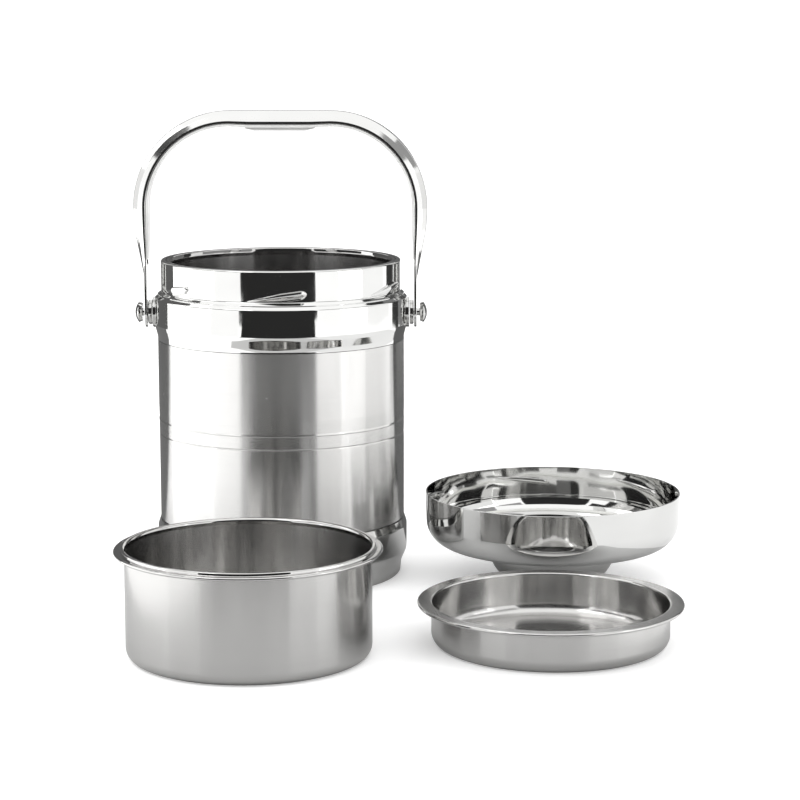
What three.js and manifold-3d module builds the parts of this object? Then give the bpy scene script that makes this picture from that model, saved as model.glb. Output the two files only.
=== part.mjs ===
// Insulated tiffin carrier: a double-walled steel pot with a swinging bail handle, a screw lid that
// lies upside-down beside it, and two nesting inserts, a deep container and a shallow dish.
// Millimetres, +Z up. The origin is the centre of the pot's flat underside. The bail's pivot axis
// runs along X, and the front of the pot faces -Y.
import * as THREE from 'three';
import { mergeVertices } from 'three/addons/utils/BufferGeometryUtils.js';
import Module from 'manifold-3d';

const wasm = await Module();
wasm.setup();

// ---- Driving dimensions ------------------------------------------------------------------------

const FACETS = 32;                 // sides of every large turned piece
const SMALL_FACETS = 16;           // sides of the rivets, bosses and pills
const JOIN_GAP = 0.3;              // gap left where two pieces are welded, pressed or laid together
const SHEET = 0.8;                 // steel sheet of the pot and the lid
const THIN_SHEET = 0.6;            // steel sheet of the liner and the inserts

// Pot
const POT_HEIGHT = 199;            // floor to rim
const MOUTH_RADIUS = 68.8;         // inside of the liner
const RIM_WIDTH = 6.2;             // flat rim ring, liner to neck
const THREAD_PROUD = 2.2;          // how far a thread ridge stands out
const THREAD_CLEARANCE = 1.1;      // neck ridges to the inside of the lid
const NECK_HEIGHT = 20;            // rim to the shoulder
const SHOULDER_DROP = 3;           // height of the sloping shoulder
const BAND_HEIGHT = 17.5;          // polished band that carries the pivots
const TAPER_HEIGHT = 9;            // band to body
const BODY_SET_IN = 1.8;           // how much narrower the body is than the band
const STEP_TOP = 99.5;             // upper edge of the shallow step round the body
const STEP_HEIGHT = 8.2;
const STEP_SET_IN = 0.3;
const BASE_HEIGHT = 36;            // height of the base cap
const BASE_BULGE = 1.5;            // base cap beyond the body
const BULGE_FOOT = 15.5;           // height at which the base cap reaches its bulge
const BULGE_TOP = 26;              // height above which it draws in to the body
const FOOT_SET_IN = 3.8;           // flat foot inside the body radius
const FOOT_HEIGHT = 7;             // upright edge of the foot
const FOOT_ROUND = 1.8;            // rounding under that edge
const BODY_TUCK = 1;               // how far the body's foot is drawn in behind the base cap
const RIM_SEAM = 2.7;              // liner lip width, up to its seam with the neck collar
const LINER_FLOOR = 12;            // inside floor of the liner
const LINER_CORNER = 8;
const VACUUM_CAP_FLOOR = 5;        // underside of the cap that closes the vacuum space
const VACUUM_CAP_RIM = 18;
const RIM_ROUND = 1;               // rounding of the rim's two edges and of the band's top
const NECK_FILLET = 1.5;           // foot of the neck

// Neck and lid threads: short ridges of a six-start bayonet thread
const THREAD_STARTS = 6;
const THREAD_ARC = 29;             // degrees covered by one ridge
const THREAD_WIDTH = 6;
const THREAD_RISE = 4.6;           // climb from one end of a ridge to the other
const NECK_THREAD_HEIGHT = 3.6;    // shoulder to the middle of the neck ridges
const LID_THREAD_DROP = 8.5;       // lid rim to the middle of its ridges
const LID_THREAD_TURN = 12.5;      // degrees the lid is turned where it lies

// Bail handle
const PIVOT_DROP = 10.5;           // top of the band to the pivot axis
const BAIL_RISE = 125.6;           // pivot axis to the top of the bail
const BAIL_CORNER = 60;            // outer radius of the bail's corners
const BAIL_SIDE_GAP = 4.3;         // band to the inside of the bail's legs
const BAIL_DEPTH = 8.1;            // depth of the channel in the legs
const BAIL_TOP_DEPTH = 8.6;        // depth of the channel in the hand bar
const BAIL_WIDTH = 19;
const BAIL_WALL = 1;
const BAIL_SLOT = 8.4;             // open slot on the inside of the channel
const TAPER_TOP = 48.5;            // above the pivot, where the legs begin to flatten
const TAPER_FOOT = 21.5;           // above the pivot, where they are flat
const EAR_THICKNESS = 1.6;
const FLAT_DEPTH = 3;              // channel thickness where it meets the ear
const INSERT_PROUD = 1.8;          // bead of the plastic insert inside the channel's lips
const INSERT_WIDTH = 12.4;
const GRIP_LENGTH = 38;
const GRIP_WIDTH = 11.6;
const GRIP_THICKNESS = 1.5;        // soft pad under the insert, at the middle of the hand bar

// Pivots
const FLANGE_RADIUS = 9.5;
const FLANGE_PROUD = 1.2;          // weld flange beyond the band
const BOSS_RADIUS = 7.75;
const BOSS_LENGTH = 2.4;
const PIN_RADIUS = 2.3;
const PIN_EXPOSED = 2.1;           // bare pin between the ear and the rivet head
const HEAD_RADIUS = 6.9;
const HEAD_HEIGHT = 4.5;

// Lid, as it lies: rim up, knob down
const LID_INNER_DEPTH = 27;        // lid rim to the inner plate
const LID_FOAM = 3.5;              // insulation between the shell and the plate
const LID_CORNER = 15.5;
const KNOB_RADIUS = 40;
const KNOB_HEIGHT = 23;
const KNOB_CORNER = 12;
const LAND_DROP = 0.8;             // seal land below the inner plate's middle
const LAND_WIDTH = 7;
const PLATE_RIM_ARC = 19;          // degrees of the lid's corner that the plate's rim covers
const SEAL_HEIGHT = 1.2;
const SEAL_WIDTH = 5;

// Inserts
const NEST_CLEARANCE = 0.5;
const CONTAINER_HEIGHT = 62.5;
const CONTAINER_CORNER = 6.5;
const CONTAINER_FLANGE = 5.9;      // flange beyond the wall
const LIP_RISE = 1.7;              // container's lip above its flange
const DISH_HEIGHT = 24.8;
const DISH_CORNER = 7;
const DISH_FLANGE = 7.9;
const ROLL = 1;                    // radius of the rolled edges

// Places on the table, as free gaps between the pieces
const CONTAINER_OFFSET = -9;
const CONTAINER_GAP = 50.7;
const LID_SIDE_GAP = 11.5;
const LID_OFFSET = -26;
const DISH_SIDE_GAP = 19;
const DISH_BACK_GAP = 0.7;

// ---- Sizes worked out from them ----------------------------------------------------------------

const neckRadius = MOUTH_RADIUS + RIM_WIDTH;
const lidInside = neckRadius + THREAD_PROUD + THREAD_CLEARANCE;
const bandRadius = lidInside + SHEET;
const lidRadius = bandRadius;
const bodyRadius = bandRadius - BODY_SET_IN;
const lowerRadius = bodyRadius - STEP_SET_IN;
const neckFoot = POT_HEIGHT - NECK_HEIGHT;
const bandTop = neckFoot - SHOULDER_DROP;
const bandFoot = bandTop - BAND_HEIGHT;
const bodyTop = bandFoot - TAPER_HEIGHT;
const pivotHeight = bandTop - PIVOT_DROP;
const landTop = KNOB_HEIGHT + LID_FOAM + 2 * (SHEET + JOIN_GAP);
const plateTop = landTop + LAND_DROP;
const lidHeight = plateTop + LID_INNER_DEPTH;
const containerRadius = MOUTH_RADIUS - NEST_CLEARANCE;
const containerEdge = containerRadius + CONTAINER_FLANGE;
const dishRadius = containerRadius - THIN_SHEET - NEST_CLEARANCE;
const dishEdge = dishRadius + DISH_FLANGE;
const containerPlace = [CONTAINER_OFFSET, -(bandRadius + containerEdge + CONTAINER_GAP)];
const lidPlace = [bandRadius + lidRadius + LID_SIDE_GAP, LID_OFFSET];
const dishPlace = [
  CONTAINER_OFFSET + containerEdge + dishEdge + DISH_SIDE_GAP,
  LID_OFFSET - lidRadius - dishEdge - DISH_BACK_GAP,
];

// ---- Materials ---------------------------------------------------------------------------------

const polished = () => new THREE.MeshStandardMaterial({ color: 0xe6e6e4, roughness: 0.06, metalness: 1 });
const satin = () => new THREE.MeshStandardMaterial({ color: 0xcfcecb, roughness: 0.3, metalness: 1 });
const brushed = () => new THREE.MeshStandardMaterial({ color: 0xc4c3c0, roughness: 0.38, metalness: 1 });
const plastic = () => new THREE.MeshStandardMaterial({ color: 0xd8d8d4, roughness: 0.45, metalness: 0 });
const foam = () => new THREE.MeshStandardMaterial({ color: 0xf1e6c4, roughness: 0.9, metalness: 0 });
const silicone = () => new THREE.MeshStandardMaterial({ color: 0xdfe0dd, roughness: 0.5, metalness: 0 });
const getterAlloy = () => new THREE.MeshStandardMaterial({ color: 0x77767a, roughness: 0.7, metalness: 0.6 });

// ---- Shape helpers -----------------------------------------------------------------------------

const radians = THREE.MathUtils.degToRad;

// Points [radius, height] along an arc, in degrees, both ends included.
function arc(centreR, centreZ, radius, from, to, steps) {
  const points = [];
  for (let i = 0; i <= steps; i += 1) {
    const angle = radians(from + ((to - from) * i) / steps);
    points.push([centreR + radius * Math.cos(angle), centreZ + radius * Math.sin(angle)]);
  }
  return points;
}

// Twice the signed area of a closed outline.
function signedArea(points) {
  let sum = 0;
  points.forEach(([r, z], i) => {
    const [nextR, nextZ] = points[(i + 1) % points.length];
    sum += r * nextZ - nextR * z;
  });
  return sum;
}

// Drops flat triangles and shares the corners that coincide.
function cleaned(geometry) {
  geometry.deleteAttribute('normal');
  geometry.deleteAttribute('uv');
  const merged = mergeVertices(geometry, 1e-4);
  const corners = Array.from(merged.index.array);
  const kept = [];
  for (let i = 0; i < corners.length; i += 3) {
    const [a, b, c] = corners.slice(i, i + 3);
    if (a !== b && b !== c && c !== a) kept.push(a, b, c);
  }
  merged.setIndex(kept);
  return merged;
}

// A solid of revolution about Z from an outline of [radius, height] points.
function turned(outline, facets = FACETS) {
  const points = signedArea(outline) < 0 ? [...outline].reverse() : outline;
  const onAxis = points.some(([r]) => r === 0);
  const start = onAxis ? points.findIndex(([r], i) => r === 0 && points[(i + 1) % points.length][0] > 0) : 0;
  const ordered = points.map((_, i) => points[(start + i) % points.length]);
  if (!onAxis) ordered.push(ordered[0]);
  const profile = ordered.map(([r, z]) => new THREE.Vector2(r, z));
  const geometry = new THREE.LatheGeometry(profile, facets);
  geometry.rotateX(Math.PI / 2);
  return cleaned(geometry);
}

// The closed outline of a sheet: its path, and the same path set over by the thickness.
// The sheet lies to the left of the path's direction.
function sheet(path, thickness) {
  const normal = (from, to) => {
    const length = Math.hypot(to[0] - from[0], to[1] - from[1]);
    return [-(to[1] - from[1]) / length, (to[0] - from[0]) / length];
  };
  const other = path.map((point, i) => {
    const before = i > 0 ? normal(path[i - 1], point) : normal(point, path[i + 1]);
    const after = i < path.length - 1 ? normal(point, path[i + 1]) : before;
    const share = thickness / (1 + before[0] * after[0] + before[1] * after[1]);
    const r = point[0] === 0 ? 0 : point[0] + (before[0] + after[0]) * share;
    return [r, point[1] + (before[1] + after[1]) * share];
  });
  return [...path, ...other.reverse()];
}

// A turned sheet.
const turnedSheet = (path, thickness) => turned(sheet(path, thickness));

// A smooth S from one [radius, height] to another.
function ease(from, to, steps) {
  const points = [];
  for (let i = 0; i <= steps; i += 1) {
    const t = i / steps;
    const blend = (1 - Math.cos(Math.PI * t)) / 2;
    points.push([from[0] + (to[0] - from[0]) * blend, from[1] + (to[1] - from[1]) * t]);
  }
  return points;
}

function toSolid(geometry) {
  const clean = cleaned(geometry);
  return new wasm.Manifold(new wasm.Mesh({
    numProp: 3,
    vertProperties: Float32Array.from(clean.attributes.position.array),
    triVerts: Uint32Array.from(clean.index.array),
  }));
}

function toGeometry(solid) {
  const mesh = solid.getMesh();
  const geometry = new THREE.BufferGeometry();
  geometry.setAttribute('position', new THREE.BufferAttribute(Float32Array.from(mesh.vertProperties), 3));
  geometry.setIndex(Array.from(mesh.triVerts));
  return geometry;
}

function joined(...geometries) {
  return toGeometry(geometries.map(toSolid).reduce((whole, piece) => whole.add(piece)));
}

const cut = (geometry, tool) => toGeometry(toSolid(geometry).subtract(toSolid(tool)));

// One thread ridge: a bar bent round the axis along a helix, swelling in the middle of its length.
// reach is the signed height of the ridge, outwards from a wall of the given root radius.
function threadRidge(rootRadius, reach, middleHeight, middleAngle, rise) {
  const bluntEnd = 0.25;
  const brokenEdge = 0.6;
  const bar = new THREE.BoxGeometry(1, 1, 1, 6, 2, 1);
  const place = bar.attributes.position;
  for (let i = 0; i < place.count; i += 1) {
    const along = place.getX(i) * 2;
    const across = place.getY(i) * 2;
    const isCrest = place.getZ(i) > 0;
    const swell = Math.max(bluntEnd, Math.sqrt(1 - along ** 4));
    const crest = reach * swell * (across === 0 ? 1 : brokenEdge);
    const radius = isCrest ? rootRadius + crest : rootRadius;
    const angle = radians(middleAngle + (along * THREAD_ARC) / 2);
    const height = middleHeight + (along * rise) / 2 + (across * swell * THREAD_WIDTH) / 2;
    place.setXYZ(i, radius * Math.cos(angle), radius * Math.sin(angle), height);
  }
  if (reach < 0) {
    const index = Array.from(bar.index.array);
    for (let i = 0; i < index.length; i += 3) [index[i], index[i + 1]] = [index[i + 1], index[i]];
    bar.setIndex(index);
  }
  return bar;
}

// A wall with its ring of thread ridges.
function withThread(wall, rootRadius, reach, middleHeight, firstAngle, rise) {
  const ridges = [];
  for (let i = 0; i < THREAD_STARTS; i += 1) {
    const angle = firstAngle + (i * 360) / THREAD_STARTS;
    ridges.push(threadRidge(rootRadius, reach, middleHeight, angle, rise));
  }
  return joined(wall, ...ridges);
}

const assembly = new THREE.Group();

function add(name, geometry, material, [x, y, z] = [0, 0, 0]) {
  const mesh = new THREE.Mesh(geometry, material);
  mesh.name = name;
  mesh.position.set(x, y, z);
  assembly.add(mesh);
  return mesh;
}

// ---- Pot ---------------------------------------------------------------------------------------

function neckCollar() {
  const straight = 4 * JOIN_GAP;
  const wall = turnedSheet([
    [bodyRadius, bodyTop + JOIN_GAP],
    ...ease([bodyRadius, bodyTop + straight], [bandRadius, bandFoot], 3),
    ...arc(bandRadius - RIM_ROUND, bandTop - RIM_ROUND / 2, RIM_ROUND, 0, 55, 2),
    ...arc(neckRadius + NECK_FILLET, neckFoot + NECK_FILLET, NECK_FILLET, 235, 180, 2),
    ...arc(neckRadius - RIM_ROUND, POT_HEIGHT - RIM_ROUND, RIM_ROUND, 0, 90, 2),
    [MOUTH_RADIUS + RIM_SEAM + JOIN_GAP, POT_HEIGHT],
  ], SHEET);
  const root = neckRadius - SHEET * 0.7;
  const reach = neckRadius + THREAD_PROUD - root;
  return withThread(wall, root, reach, neckFoot + NECK_THREAD_HEIGHT, -90, THREAD_RISE);
}

function bodyShell() {
  const tuck = lowerRadius - BODY_TUCK;
  return turnedSheet([
    [tuck, 2 * FOOT_HEIGHT],
    [tuck, BASE_HEIGHT + JOIN_GAP],
    [lowerRadius, BASE_HEIGHT + 2 * JOIN_GAP],
    [lowerRadius, STEP_TOP - STEP_HEIGHT],
    [bodyRadius, STEP_TOP],
    [bodyRadius, bodyTop],
  ], SHEET);
}

function baseCap() {
  const foot = bodyRadius - FOOT_SET_IN;
  const waist = (FOOT_HEIGHT + BULGE_FOOT) / 2;
  const slope = 0.2;
  return turnedSheet([
    [0, 0],
    [foot, 0],
    [foot + FOOT_ROUND, FOOT_ROUND],
    [foot + FOOT_ROUND + slope, FOOT_HEIGHT],
    [bodyRadius - BODY_TUCK, waist],
    [bodyRadius + BASE_BULGE - slope, BULGE_FOOT],
    [bodyRadius + BASE_BULGE, BULGE_TOP],
    [bodyRadius, BASE_HEIGHT],
  ], SHEET);
}

function innerLiner() {
  return turnedSheet([
    [0, LINER_FLOOR],
    ...arc(MOUTH_RADIUS - LINER_CORNER, LINER_FLOOR + LINER_CORNER, LINER_CORNER, -90, 0, 3),
    ...arc(MOUTH_RADIUS + RIM_ROUND, POT_HEIGHT - RIM_ROUND, RIM_ROUND, 180, 90, 2),
    [MOUTH_RADIUS + RIM_SEAM, POT_HEIGHT],
  ], -THIN_SHEET);
}

const vacuumCapRadius = lowerRadius - BODY_TUCK - SHEET - JOIN_GAP;

function vacuumCap() {
  const corner = 5;
  return turnedSheet([
    [0, VACUUM_CAP_FLOOR],
    ...arc(vacuumCapRadius - corner, VACUUM_CAP_FLOOR + corner, corner, -90, 0, 2),
    [vacuumCapRadius, VACUUM_CAP_RIM],
  ], SHEET);
}

function pill(radius, foot, height) {
  return turned([[0, foot], [radius, foot], [radius, foot + height], [0, foot + height]], SMALL_FACETS);
}

function buildPot() {
  const capTop = VACUUM_CAP_FLOOR + SHEET;
  const plugHeight = 2.5;
  add('neck_collar', neckCollar(), polished());
  add('body_shell', bodyShell(), brushed());
  add('base_cap', baseCap(), brushed());
  add('inner_liner', innerLiner(), satin());
  add('vacuum_end_cap', vacuumCap(), satin());
  add('getter_pill', pill(6, capTop + JOIN_GAP, 2.8), getterAlloy(), [22, 0, 0]);
  add('vacuum_seal_plug', pill(4, VACUUM_CAP_FLOOR - JOIN_GAP - plugHeight, plugHeight), getterAlloy());
}

// ---- Bail handle -------------------------------------------------------------------------------

const bailInside = bandRadius + BAIL_SIDE_GAP;
const bailOutside = bailInside + BAIL_DEPTH;
const bossFace = bandRadius + FLANGE_PROUD + JOIN_GAP + BOSS_LENGTH;
const earInside = bossFace + JOIN_GAP;
const earOutside = earInside + EAR_THICKNESS;

// The channel's section: outward from its inner face, and across. It is a rounded trough, open on
// the inside, that closes to a flat strap as its depth shrinks.
function channelSection(depth) {
  const half = BAIL_WIDTH / 2;
  const slot = BAIL_SLOT / 2;
  const wall = Math.min(BAIL_WALL, depth * 0.3);
  const outer = [
    [0, slot],
    [0, half - 1.5],
    [depth * 0.2, half],
    [depth * 0.6, half - 0.5],
    [depth * 0.88, half * 0.68],
    [depth, half * 0.3],
  ];
  const inner = [
    [depth - wall, half * 0.3],
    [depth * 0.88 - wall, half * 0.68 - wall * 0.4],
    [depth * 0.6 - wall * 0.4, half - 0.5 - BAIL_WALL],
    [wall, half - 1.6],
    [wall, slot],
  ];
  const mirror = (points) => points.map(([out, across]) => [out, -across]).reverse();
  return [...outer, ...mirror(outer), ...mirror(inner), ...inner];
}

// Stations along the bail, from the left ear over the top to the right one: a point on the inner
// face, the outward direction in the XZ plane, and the depth there.
function bailStations() {
  const cornerX = bailOutside - BAIL_CORNER;
  const cornerZ = BAIL_RISE - BAIL_CORNER;
  const foot = earInside - JOIN_GAP;
  const steps = 6;
  const right = [
    { x: foot, z: TAPER_FOOT, angle: 0, depth: FLAT_DEPTH },
    { x: (foot + bailInside) / 2, z: (TAPER_FOOT + TAPER_TOP) / 2, angle: 0, depth: BAIL_DEPTH * 0.84 },
    { x: bailInside, z: TAPER_TOP, angle: 0, depth: BAIL_DEPTH },
  ];
  for (let i = 0; i <= steps; i += 1) {
    const angle = radians((90 * i) / steps);
    const depth = BAIL_DEPTH + ((BAIL_TOP_DEPTH - BAIL_DEPTH) * i) / steps;
    const reach = BAIL_CORNER - depth;
    right.push({ x: cornerX + reach * Math.cos(angle), z: cornerZ + reach * Math.sin(angle), angle, depth });
  }
  const left = right.map((s) => ({ ...s, x: -s.x, angle: Math.PI - s.angle })).reverse();
  return [...right, ...left];
}

// The plastic insert's section: a core in the channel, a tongue through its slot, and a bead
// inside its lips.
function insertSection(depth) {
  const core = BAIL_WIDTH / 2 - BAIL_WALL - 4 * JOIN_GAP;
  const tongue = BAIL_SLOT / 2 - JOIN_GAP;
  const bead = INSERT_WIDTH / 2;
  const round = INSERT_PROUD * 0.6;
  const half = [
    [-INSERT_PROUD, bead - round],
    [-INSERT_PROUD + round, bead],
    [-JOIN_GAP, bead],
    [-JOIN_GAP, tongue],
    [BAIL_WALL + JOIN_GAP, tongue],
    [BAIL_WALL + JOIN_GAP, core],
    [depth * 0.5, core],
    [depth - BAIL_WALL - 2 * JOIN_GAP, core * 0.36],
  ];
  return [...half, ...half.map(([out, across]) => [out, -across]).reverse()];
}

// A solid that carries a section along the bail's stations.
function swept(stations, sectionAt) {
  const rings = stations.map(({ x, z, angle, depth }) => sectionAt(depth).map(([out, across]) => [
    x + out * Math.cos(angle), across, z + out * Math.sin(angle),
  ]));
  const count = rings[0].length;
  const index = [];
  for (let s = 0; s < rings.length - 1; s += 1) {
    for (let i = 0; i < count; i += 1) {
      const next = (i + 1) % count;
      const [a, b, c, d] = [s * count + i, s * count + next, (s + 1) * count + next, (s + 1) * count + i];
      index.push(a, b, c, a, c, d);
    }
  }
  const section = sectionAt(stations[0].depth).map(([out, across]) => new THREE.Vector2(out, across));
  const last = (rings.length - 1) * count;
  THREE.ShapeUtils.triangulateShape(section, []).forEach(([a, b, c]) => {
    index.push(a, b, c);
    index.push(last + a, last + c, last + b);
  });
  const geometry = new THREE.BufferGeometry();
  geometry.setAttribute('position', new THREE.Float32BufferAttribute(rings.flat(2), 3));
  geometry.setIndex(index);
  return facingOut(geometry);
}

// A solid whose triangles may all be the wrong way round is turned the right way.
function facingOut(geometry) {
  const place = geometry.attributes.position;
  const corners = Array.from(geometry.index.array);
  const [a, b, c] = [new THREE.Vector3(), new THREE.Vector3(), new THREE.Vector3()];
  let volume = 0;
  for (let i = 0; i < corners.length; i += 3) {
    a.fromBufferAttribute(place, corners[i]);
    b.fromBufferAttribute(place, corners[i + 1]);
    c.fromBufferAttribute(place, corners[i + 2]);
    volume += a.dot(b.cross(c));
  }
  if (volume < 0) {
    for (let i = 0; i < corners.length; i += 3) {
      [corners[i], corners[i + 1]] = [corners[i + 1], corners[i]];
    }
    geometry.setIndex(corners);
  }
  return geometry;
}

// The flat ear at the foot of a leg: a round-ended strap with the pin's hole through it.
function earGeometry(side) {
  const half = BAIL_WIDTH / 2;
  const top = TAPER_FOOT + 8;
  const outline = new THREE.Shape();
  outline.moveTo(half, top);
  outline.lineTo(-half, top);
  outline.absarc(0, 0, half, Math.PI, 2 * Math.PI, false);
  outline.closePath();
  const hole = new THREE.Path();
  hole.absarc(0, 0, PIN_RADIUS + JOIN_GAP, 0, 2 * Math.PI, true);
  outline.holes.push(hole);
  const strap = new THREE.ExtrudeGeometry(outline, {
    depth: EAR_THICKNESS, bevelEnabled: false, curveSegments: SMALL_FACETS,
  });
  strap.rotateX(Math.PI / 2);
  strap.rotateZ(Math.PI / 2);
  strap.translate(side > 0 ? earInside : -earOutside, 0, 0);
  return strap;
}

function bailHandle() {
  return joined(swept(bailStations(), channelSection), earGeometry(-1), earGeometry(1));
}

// The insert stops short of the flattened feet of the channel.
const bailInsert = () => swept(bailStations().slice(1, -1), insertSection);

// The grip pad: a soft strip under the insert's bead, with its lower edges broken.
function bailGrip() {
  const underside = BAIL_RISE - BAIL_TOP_DEPTH - INSERT_PROUD - JOIN_GAP;
  const half = GRIP_WIDTH / 2;
  const edge = 0.6;
  const section = new THREE.Shape([
    [-half, 0], [-half, edge - GRIP_THICKNESS], [-half + 2 * edge, -GRIP_THICKNESS],
    [half - 2 * edge, -GRIP_THICKNESS], [half, edge - GRIP_THICKNESS], [half, 0],
  ].map(([across, up]) => new THREE.Vector2(across, up)));
  const bar = new THREE.ExtrudeGeometry(section, { depth: GRIP_LENGTH, bevelEnabled: false });
  bar.rotateX(Math.PI / 2);
  bar.rotateZ(Math.PI / 2);
  bar.translate(-GRIP_LENGTH / 2, 0, underside);
  return cleaned(bar);
}

// A turned piece whose axis is the pivot axis, on the side given by its sign.
function turnedOnPivot(outline, side) {
  const geometry = turned(outline, SMALL_FACETS);
  geometry.rotateY((side * Math.PI) / 2);
  return geometry;
}

function pivotFlange(side) {
  const disc = turnedOnPivot([
    [0, bandRadius - 2], [FLANGE_RADIUS, bandRadius - 2],
    [FLANGE_RADIUS, bandRadius + FLANGE_PROUD - 0.3], [FLANGE_RADIUS - 0.4, bandRadius + FLANGE_PROUD],
    [0, bandRadius + FLANGE_PROUD],
  ], side);
  const reach = 2 * FLANGE_RADIUS;
  const band = turned([
    [0, -reach], [bandRadius + JOIN_GAP, -reach], [bandRadius + JOIN_GAP, reach], [0, reach],
  ]);
  return cut(disc, band);
}

function pivotBoss(side) {
  const foot = bandRadius + FLANGE_PROUD + JOIN_GAP;
  const bore = PIN_RADIUS + JOIN_GAP;
  return turnedOnPivot([
    [bore, foot], [BOSS_RADIUS, foot], [BOSS_RADIUS, bossFace - 0.5], [BOSS_RADIUS - 0.5, bossFace],
    [bore, bossFace],
  ], side);
}

function pivotPin(side) {
  const shankFoot = bandRadius + FLANGE_PROUD + 2 * JOIN_GAP;
  const headFoot = earOutside + PIN_EXPOSED;
  const domeFoot = headFoot + 1;
  const domeHeight = HEAD_HEIGHT - 1;
  const dome = [];
  for (let i = 0; i <= 3; i += 1) {
    const angle = radians(30 * i);
    dome.push([i === 3 ? 0 : HEAD_RADIUS * Math.cos(angle), domeFoot + domeHeight * Math.sin(angle)]);
  }
  return turnedOnPivot([
    [0, shankFoot], [PIN_RADIUS, shankFoot], [PIN_RADIUS, headFoot], [HEAD_RADIUS - 0.4, headFoot],
    ...dome,
  ], side);
}

function buildBail() {
  const pivot = [0, 0, pivotHeight];
  [['left', -1], ['right', 1]].forEach(([hand, side]) => {
    add(`${hand}_pivot_flange`, pivotFlange(side), polished(), pivot);
    add(`${hand}_pivot_boss`, pivotBoss(side), polished(), pivot);
    add(`${hand}_pivot_rivet`, pivotPin(side), polished(), pivot);
  });
  add('bail_handle', bailHandle(), polished(), pivot);
  add('bail_insert', bailInsert(), plastic(), pivot);
  add('bail_grip', bailGrip(), plastic(), pivot);
}

// ---- Lid, lying upside-down --------------------------------------------------------------------

const lidCornerR = lidRadius - LID_CORNER;
const lidCornerZ = KNOB_HEIGHT + LID_CORNER;

function lidShell() {
  const wall = turnedSheet([
    [0, KNOB_HEIGHT],
    ...arc(lidCornerR, lidCornerZ, LID_CORNER, -90, 0, 4),
    [lidRadius, lidHeight],
  ], SHEET);
  const root = lidInside + SHEET * 0.25;
  const reach = lidInside - THREAD_PROUD - root;
  const middle = lidHeight - LID_THREAD_DROP;
  return withThread(wall, root, reach, middle, 90 + LID_THREAD_TURN, THREAD_RISE);
}

// The inner plate's rim hugs the shell's rounded corner.
const plateHug = LID_CORNER - SHEET - JOIN_GAP;
const landAngle = -THREE.MathUtils.radToDeg(Math.asin((lidCornerZ - landTop + SHEET) / plateHug));
const landEdge = lidCornerR + plateHug * Math.cos(radians(landAngle));

function lidInnerPlate() {
  return turnedSheet([
    [0, plateTop - SHEET],
    [landEdge - LAND_WIDTH - 1, plateTop - SHEET],
    [landEdge - LAND_WIDTH, landTop - SHEET],
    ...arc(lidCornerR, lidCornerZ, plateHug, landAngle, landAngle + PLATE_RIM_ARC, 2),
  ], SHEET);
}

function lidSeal() {
  const foot = landTop + JOIN_GAP;
  const outer = landEdge - 0.8;
  const inner = outer - SEAL_WIDTH;
  return turned([
    [inner, foot], [outer, foot], [outer, foot + SEAL_HEIGHT - 0.3],
    [outer - 0.5, foot + SEAL_HEIGHT], [inner + 0.5, foot + SEAL_HEIGHT], [inner, foot + SEAL_HEIGHT - 0.3],
  ]);
}

function lidInsulation() {
  const foot = KNOB_HEIGHT + SHEET + JOIN_GAP;
  const top = landTop - SHEET - JOIN_GAP;
  return turned([[0, foot], [lidCornerR, foot], [lidCornerR, top], [0, top]]);
}

function lidKnob() {
  return turnedSheet([
    [0, 0],
    ...arc(KNOB_RADIUS - KNOB_CORNER, KNOB_CORNER, KNOB_CORNER, -90, 0, 3),
    [KNOB_RADIUS, KNOB_HEIGHT - JOIN_GAP],
  ], SHEET);
}

function buildLid() {
  const place = [...lidPlace, 0];
  add('lid_shell', lidShell(), polished(), place);
  add('lid_inner_plate', lidInnerPlate(), polished(), place);
  add('lid_seal', lidSeal(), silicone(), place);
  add('lid_insulation', lidInsulation(), foam(), place);
  add('lid_knob', lidKnob(), polished(), place);
}

// ---- Inserts -----------------------------------------------------------------------------------

// Both inserts are drawn along their inner face, from the middle of the floor out to the rolled
// edge, with the sheet on the outside.
function insert(height, radius, corner, mouth) {
  const inner = radius - THIN_SHEET;
  const floor = THIN_SHEET;
  return turnedSheet([
    [0, floor],
    ...arc(inner - corner + THIN_SHEET, floor + corner - THIN_SHEET, corner - THIN_SHEET, -90, 0, 3),
    ...mouth(inner, height),
  ], -THIN_SHEET);
}

function deepContainer() {
  return insert(CONTAINER_HEIGHT, containerRadius, CONTAINER_CORNER, (inner, height) => {
    const flange = height - LIP_RISE;
    return [
      ...arc(inner + 1.6, height - 1.6, 1.6, 180, 90, 2),
      [inner + 3, flange],
      ...arc(containerEdge - ROLL, flange - ROLL, ROLL, 90, -60, 3),
    ];
  });
}

function shallowDish() {
  return insert(DISH_HEIGHT, dishRadius, DISH_CORNER, (inner, height) => [
    ...arc(inner + 1.2, height - 1.2, 1.2, 180, 90, 2),
    ...arc(dishEdge - ROLL, height - ROLL, ROLL, 90, -60, 3),
  ]);
}

function buildInserts() {
  add('deep_container', deepContainer(), satin(), [...containerPlace, 0]);
  add('shallow_dish', shallowDish(), satin(), [...dishPlace, 0]);
}

buildPot();
buildBail();
buildLid();
buildInserts();

export default assembly;
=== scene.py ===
import math

import bpy
from mathutils import Matrix, Vector


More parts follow.
